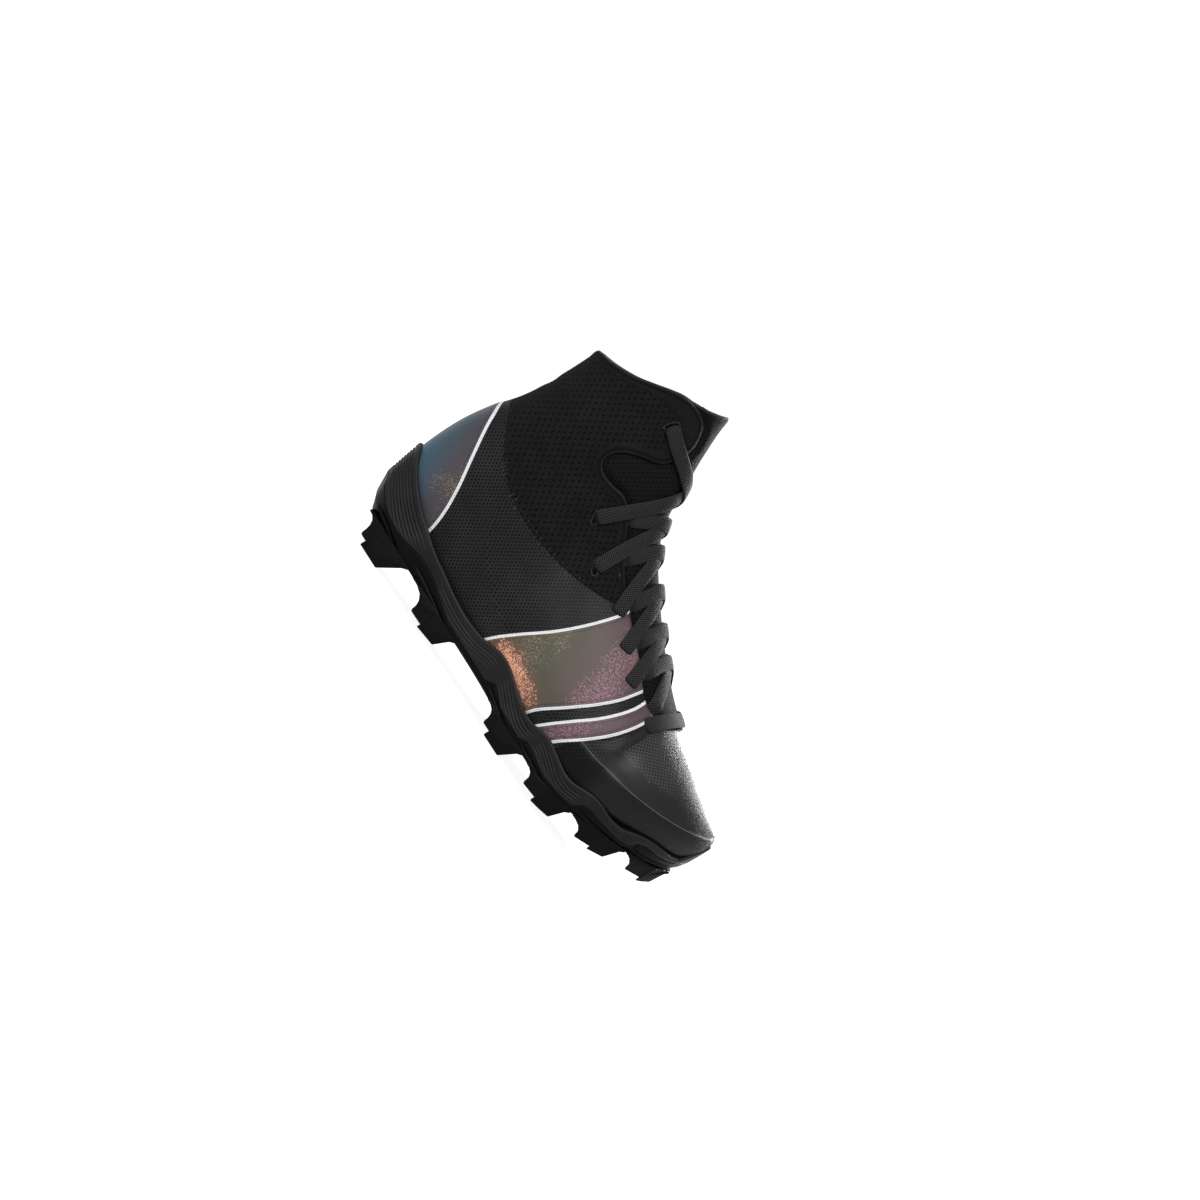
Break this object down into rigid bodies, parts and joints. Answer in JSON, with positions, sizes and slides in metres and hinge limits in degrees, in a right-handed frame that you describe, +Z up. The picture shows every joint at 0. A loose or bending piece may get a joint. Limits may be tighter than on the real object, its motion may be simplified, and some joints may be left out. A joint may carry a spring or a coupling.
{
  "type": "american football cleat",
  "caption": "High-top right shoe for american football: ribbed cup sole with moulded blade studs, hollow laced upper with keyhole cut-outs and a padded tongue.",
  "frame": {"origin": "on the ground, below the middle of the shoe's bounding box", "axes": "+X from the heel to the toe, +Y to the inner side of the foot, +Z up"},
  "size_m": [0.305, 0.1052, 0.2272],
  "materials": {
    "rubber": "satin black moulded plastic",
    "foam": "satin black foam skin with moulded grooves",
    "synthetic": "black coated textile with printed film panels",
    "knit": "padded black knit",
    "lining": "black textile cover",
    "webbing": "flat woven black lace"
  },
  "bodies": {
    "root": {"outsole": "rubber", "midsole": "foam", "insole": "lining", "upper": "synthetic", "tongue": "knit", "lace_bar": "webbing", "lace_cross_1": "webbing", "lace_cross_2": "webbing", "lace_cross_3": "webbing", "lace_cross_4": "webbing", "lace_cross_5": "webbing", "lace_cross_6": "webbing"}
  },
  "joints": []
}
